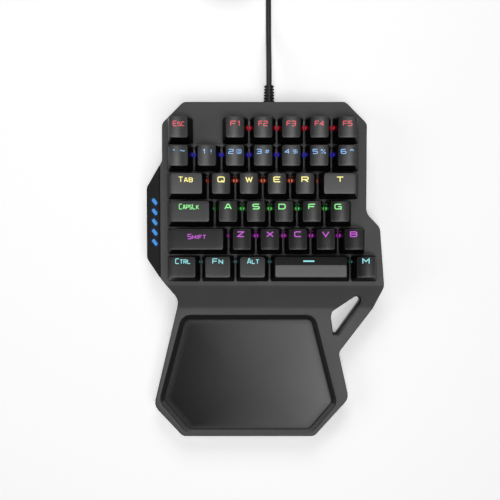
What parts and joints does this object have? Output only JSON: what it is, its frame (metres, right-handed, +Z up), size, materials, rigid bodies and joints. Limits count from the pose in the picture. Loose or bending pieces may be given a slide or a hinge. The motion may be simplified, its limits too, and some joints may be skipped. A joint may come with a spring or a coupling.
{
  "type": "one-handed keypad",
  "caption": "One-handed desktop keypad: sprung keys on a tilted panel, an inset palm rest, a lit left flank, a slot on the right and a lead coiled behind.",
  "frame": {"origin": "on the desk under the middle of the case's footprint", "axes": "+X to the user's right, +Y from the palm rest to the back edge, +Z up"},
  "size_m": [0.1918, 0.3945, 0.0456],
  "materials": {
    "cover": "fine matte",
    "lower_cover": "fine matte",
    "keycap": "satin",
    "pad": "semi-gloss",
    "trim": "gloss",
    "light": "translucent",
    "switch": "moulded",
    "plate": "coated",
    "board": "lacquered",
    "rubber": "matte",
    "lead": "matte",
    "strap": "woven",
    "shell": "plated",
    "tongue": "moulded"
  },
  "bodies": {
    "case": {"top_cover": "cover", "bottom_cover": "lower_cover", "switch_plate": "plate", "circuit_board": "board", "side_trim": "trim", "side_light_guide": "light", "palm_pad": "pad", "foot_rear_left": "rubber", "foot_rear_right": "rubber", "foot_front_left": "rubber", "foot_front_right": "rubber", "strain_relief": "lead", "cable_run": "lead", "cable_coil": "lead", "cable_tie": "strap", "plug_grip": "lead", "plug_shell": "shell", "plug_tongue": "tongue", "switch_row_1": "switch", "switch_row_2": "switch", "switch_row_3": "switch", "switch_row_4": "switch", "switch_row_5": "switch", "switch_row_6": "switch"},
    "key_esc": {"key_esc": "keycap"},
    "key_f1": {"key_f1": "keycap"},
    "key_f2": {"key_f2": "keycap"},
    "key_f3": {"key_f3": "keycap"},
    "key_f4": {"key_f4": "keycap"},
    "key_f5": {"key_f5": "keycap"},
    "key_grave": {"key_grave": "keycap"},
    "key_1": {"key_1": "keycap"},
    "key_2": {"key_2": "keycap"},
    "key_3": {"key_3": "keycap"},
    "key_4": {"key_4": "keycap"},
    "key_5": {"key_5": "keycap"},
    "key_6": {"key_6": "keycap"},
    "key_tab": {"key_tab": "keycap"},
    "key_q": {"key_q": "keycap"},
    "key_w": {"key_w": "keycap"},
    "key_e": {"key_e": "keycap"},
    "key_r": {"key_r": "keycap"},
    "key_t": {"key_t": "keycap"},
    "key_caps": {"key_caps": "keycap"},
    "key_a": {"key_a": "keycap"},
    "key_s": {"key_s": "keycap"},
    "key_d": {"key_d": "keycap"},
    "key_f": {"key_f": "keycap"},
    "key_g": {"key_g": "keycap"},
    "key_shift": {"key_shift": "keycap"},
    "key_z": {"key_z": "keycap"},
    "key_x": {"key_x": "keycap"},
    "key_c": {"key_c": "keycap"},
    "key_v": {"key_v": "keycap"},
    "key_b": {"key_b": "keycap"},
    "key_ctrl": {"key_ctrl": "keycap"},
    "key_fn": {"key_fn": "keycap"},
    "key_alt": {"key_alt": "keycap"},
    "key_space": {"key_space": "keycap"},
    "key_macro": {"key_macro": "keycap"}
  },
  "joints": [
    {"name": "key_esc_press", "type": "slide", "parent": "case", "child": "key_esc", "axis": [0, -0.0436, 0.999], "range_m": [-0.004, 0], "stiffness_N_per_m": 80, "springref_m": 0.003},
    {"name": "key_f1_press", "type": "slide", "parent": "case", "child": "key_f1", "axis": [0, -0.0436, 0.999], "range_m": [-0.004, 0], "stiffness_N_per_m": 80, "springref_m": 0.003},
    {"name": "key_f2_press", "type": "slide", "parent": "case", "child": "key_f2", "axis": [0, -0.0436, 0.999], "range_m": [-0.004, 0], "stiffness_N_per_m": 80, "springref_m": 0.003},
    {"name": "key_f3_press", "type": "slide", "parent": "case", "child": "key_f3", "axis": [0, -0.0436, 0.999], "range_m": [-0.004, 0], "stiffness_N_per_m": 80, "springref_m": 0.003},
    {"name": "key_f4_press", "type": "slide", "parent": "case", "child": "key_f4", "axis": [0, -0.0436, 0.999], "range_m": [-0.004, 0], "stiffness_N_per_m": 80, "springref_m": 0.003},
    {"name": "key_f5_press", "type": "slide", "parent": "case", "child": "key_f5", "axis": [0, -0.0436, 0.999], "range_m": [-0.004, 0], "stiffness_N_per_m": 80, "springref_m": 0.003},
    {"name": "key_grave_press", "type": "slide", "parent": "case", "child": "key_grave", "axis": [0, -0.0436, 0.999], "range_m": [-0.004, 0], "stiffness_N_per_m": 80, "springref_m": 0.003},
    {"name": "key_1_press", "type": "slide", "parent": "case", "child": "key_1", "axis": [0, -0.0436, 0.999], "range_m": [-0.004, 0], "stiffness_N_per_m": 80, "springref_m": 0.003},
    {"name": "key_2_press", "type": "slide", "parent": "case", "child": "key_2", "axis": [0, -0.0436, 0.999], "range_m": [-0.004, 0], "stiffness_N_per_m": 80, "springref_m": 0.003},
    {"name": "key_3_press", "type": "slide", "parent": "case", "child": "key_3", "axis": [0, -0.0436, 0.999], "range_m": [-0.004, 0], "stiffness_N_per_m": 80, "springref_m": 0.003},
    {"name": "key_4_press", "type": "slide", "parent": "case", "child": "key_4", "axis": [0, -0.0436, 0.999], "range_m": [-0.004, 0], "stiffness_N_per_m": 80, "springref_m": 0.003},
    {"name": "key_5_press", "type": "slide", "parent": "case", "child": "key_5", "axis": [0, -0.0436, 0.999], "range_m": [-0.004, 0], "stiffness_N_per_m": 80, "springref_m": 0.003},
    {"name": "key_6_press", "type": "slide", "parent": "case", "child": "key_6", "axis": [0, -0.0436, 0.999], "range_m": [-0.004, 0], "stiffness_N_per_m": 80, "springref_m": 0.003},
    {"name": "key_tab_press", "type": "slide", "parent": "case", "child": "key_tab", "axis": [0, -0.0436, 0.999], "range_m": [-0.004, 0], "stiffness_N_per_m": 80, "springref_m": 0.003},
    {"name": "key_q_press", "type": "slide", "parent": "case", "child": "key_q", "axis": [0, -0.0436, 0.999], "range_m": [-0.004, 0], "stiffness_N_per_m": 80, "springref_m": 0.003},
    {"name": "key_w_press", "type": "slide", "parent": "case", "child": "key_w", "axis": [0, -0.0436, 0.999], "range_m": [-0.004, 0], "stiffness_N_per_m": 80, "springref_m": 0.003},
    {"name": "key_e_press", "type": "slide", "parent": "case", "child": "key_e", "axis": [0, -0.0436, 0.999], "range_m": [-0.004, 0], "stiffness_N_per_m": 80, "springref_m": 0.003},
    {"name": "key_r_press", "type": "slide", "parent": "case", "child": "key_r", "axis": [0, -0.0436, 0.999], "range_m": [-0.004, 0], "stiffness_N_per_m": 80, "springref_m": 0.003},
    {"name": "key_t_press", "type": "slide", "parent": "case", "child": "key_t", "axis": [0, -0.0436, 0.999], "range_m": [-0.004, 0], "stiffness_N_per_m": 80, "springref_m": 0.003},
    {"name": "key_caps_press", "type": "slide", "parent": "case", "child": "key_caps", "axis": [0, -0.0436, 0.999], "range_m": [-0.004, 0], "stiffness_N_per_m": 80, "springref_m": 0.003},
    {"name": "key_a_press", "type": "slide", "parent": "case", "child": "key_a", "axis": [0, -0.0436, 0.999], "range_m": [-0.004, 0], "stiffness_N_per_m": 80, "springref_m": 0.003},
    {"name": "key_s_press", "type": "slide", "parent": "case", "child": "key_s", "axis": [0, -0.0436, 0.999], "range_m": [-0.004, 0], "stiffness_N_per_m": 80, "springref_m": 0.003},
    {"name": "key_d_press", "type": "slide", "parent": "case", "child": "key_d", "axis": [0, -0.0436, 0.999], "range_m": [-0.004, 0], "stiffness_N_per_m": 80, "springref_m": 0.003},
    {"name": "key_f_press", "type": "slide", "parent": "case", "child": "key_f", "axis": [0, -0.0436, 0.999], "range_m": [-0.004, 0], "stiffness_N_per_m": 80, "springref_m": 0.003},
    {"name": "key_g_press", "type": "slide", "parent": "case", "child": "key_g", "axis": [0, -0.0436, 0.999], "range_m": [-0.004, 0], "stiffness_N_per_m": 80, "springref_m": 0.003},
    {"name": "key_shift_press", "type": "slide", "parent": "case", "child": "key_shift", "axis": [0, -0.0436, 0.999], "range_m": [-0.004, 0], "stiffness_N_per_m": 80, "springref_m": 0.003},
    {"name": "key_z_press", "type": "slide", "parent": "case", "child": "key_z", "axis": [0, -0.0436, 0.999], "range_m": [-0.004, 0], "stiffness_N_per_m": 80, "springref_m": 0.003},
    {"name": "key_x_press", "type": "slide", "parent": "case", "child": "key_x", "axis": [0, -0.0436, 0.999], "range_m": [-0.004, 0], "stiffness_N_per_m": 80, "springref_m": 0.003},
    {"name": "key_c_press", "type": "slide", "parent": "case", "child": "key_c", "axis": [0, -0.0436, 0.999], "range_m": [-0.004, 0], "stiffness_N_per_m": 80, "springref_m": 0.003},
    {"name": "key_v_press", "type": "slide", "parent": "case", "child": "key_v", "axis": [0, -0.0436, 0.999], "range_m": [-0.004, 0], "stiffness_N_per_m": 80, "springref_m": 0.003},
    {"name": "key_b_press", "type": "slide", "parent": "case", "child": "key_b", "axis": [0, -0.0436, 0.999], "range_m": [-0.004, 0], "stiffness_N_per_m": 80, "springref_m": 0.003},
    {"name": "key_ctrl_press", "type": "slide", "parent": "case", "child": "key_ctrl", "axis": [0, -0.0436, 0.999], "range_m": [-0.004, 0], "stiffness_N_per_m": 80, "springref_m": 0.003},
    {"name": "key_fn_press", "type": "slide", "parent": "case", "child": "key_fn", "axis": [0, -0.0436, 0.999], "range_m": [-0.004, 0], "stiffness_N_per_m": 80, "springref_m": 0.003},
    {"name": "key_alt_press", "type": "slide", "parent": "case", "child": "key_alt", "axis": [0, -0.0436, 0.999], "range_m": [-0.004, 0], "stiffness_N_per_m": 80, "springref_m": 0.003},
    {"name": "key_space_press", "type": "slide", "parent": "case", "child": "key_space", "axis": [0, -0.0436, 0.999], "range_m": [-0.004, 0], "stiffness_N_per_m": 80, "springref_m": 0.003},
    {"name": "key_macro_press", "type": "slide", "parent": "case", "child": "key_macro", "axis": [0, -0.0436, 0.999], "range_m": [-0.004, 0], "stiffness_N_per_m": 80, "springref_m": 0.003}
  ]
}
